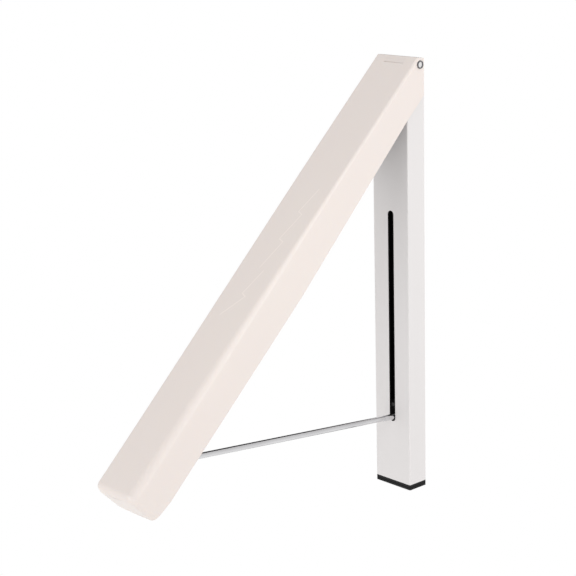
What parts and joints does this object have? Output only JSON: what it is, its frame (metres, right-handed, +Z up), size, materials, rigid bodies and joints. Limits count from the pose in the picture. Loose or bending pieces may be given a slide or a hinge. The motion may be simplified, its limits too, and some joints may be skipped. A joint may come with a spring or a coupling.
{
  "type": "fold-down drying rack arm",
  "caption": "Wall rail with a hinged arm that folds down over a sliding rod, so clothes hangers hang from the rod between arm and wall.",
  "frame": {"origin": "on the wall face, on the rail's centre line, midway between the two hanging keyholes", "axes": "+X to the right across the rail seen from the room, +Y into the wall, +Z up; the arm stands out towards -Y"},
  "size_m": [0.049, 0.3157, 0.3687],
  "materials": {
    "rail_paint": "satin",
    "cover_plastic": "semi gloss",
    "clip_plastic": "semi gloss",
    "black_plastic": "fine grain",
    "black_rubber": "matte",
    "grey_acetal": "smooth",
    "frame_steel": "zinc plated",
    "screw_steel": "zinc plated",
    "rod_chrome": "polished",
    "pin_chrome": "polished"
  },
  "bodies": {
    "wall_rail": {"wall_channel": "rail_paint", "foot_cap": "black_plastic", "hinge_block": "black_plastic", "slide_guide_right": "black_plastic", "slide_guide_left": "black_plastic", "guide_screws": "screw_steel", "lower_stop": "black_rubber", "upper_stop": "black_rubber"},
    "arm": {"arm_cover": "cover_plastic", "arm_frame": "frame_steel", "hinge_axle": "frame_steel", "cover_pin": "pin_chrome", "cover_pin_cap": "pin_chrome", "top_clip": "clip_plastic", "rod_bracket": "black_plastic", "rod_pin": "screw_steel", "bracket_screws": "screw_steel", "frame_screws": "screw_steel", "bumper_right": "black_rubber", "bumper_left": "black_rubber"},
    "rod": {"hanging_rod": "rod_chrome", "rod_outer_eye": "rod_chrome", "rod_inner_eye": "rod_chrome"},
    "slider": {"slider_block": "grey_acetal", "slider_pins": "screw_steel"}
  },
  "joints": [
    {"name": "arm_fold", "type": "hinge", "parent": "wall_rail", "child": "arm", "pos_m": [0, -0.01, 0.183], "axis": [1, 0, 0], "range_deg": [0, 45.3]},
    {"name": "rod_fold", "type": "hinge", "parent": "arm", "child": "rod", "pos_m": [0, -0.28853, -0.06889], "axis": [1, 0, 0], "range_deg": [0, 48.1]},
    {"name": "slider_travel", "type": "slide", "parent": "wall_rail", "child": "slider", "axis": [0, 0, 1], "range_m": [0, 0.1786]}
  ],
  "couplings": [
    {"joint": "rod_fold", "follows": "arm_fold", "ratio": 1.0617},
    {"joint": "slider_travel", "follows": "arm_fold", "m_per_rad": 0.22578}
  ]
}
